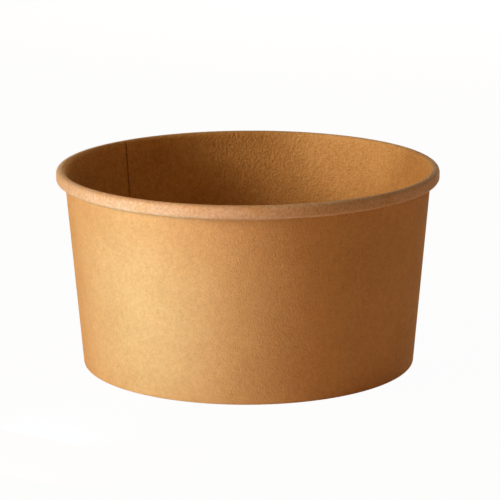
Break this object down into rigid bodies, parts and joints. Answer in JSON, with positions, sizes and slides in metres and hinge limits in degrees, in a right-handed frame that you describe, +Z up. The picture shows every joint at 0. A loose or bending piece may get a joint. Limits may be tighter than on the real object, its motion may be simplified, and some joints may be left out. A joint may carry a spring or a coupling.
{
  "type": "paper salad bowl",
  "caption": "Round kraft paperboard salad bowl: tapered wall with a rolled rim and a lapped side seam, and a flat base set up inside a hemmed foot.",
  "frame": {"origin": "middle of the foot, at table level", "axes": "+Z up along the bowl's axis to the rim; -Y towards the front of the picture, +X to its right"},
  "size_m": [0.15, 0.15, 0.078],
  "materials": {
    "kraft_wall": "uncoated brown kraft",
    "kraft_base": "film-coated brown kraft"
  },
  "bodies": {
    "root": {"side_wall": "kraft_wall", "base_disc": "kraft_base"}
  },
  "joints": []
}
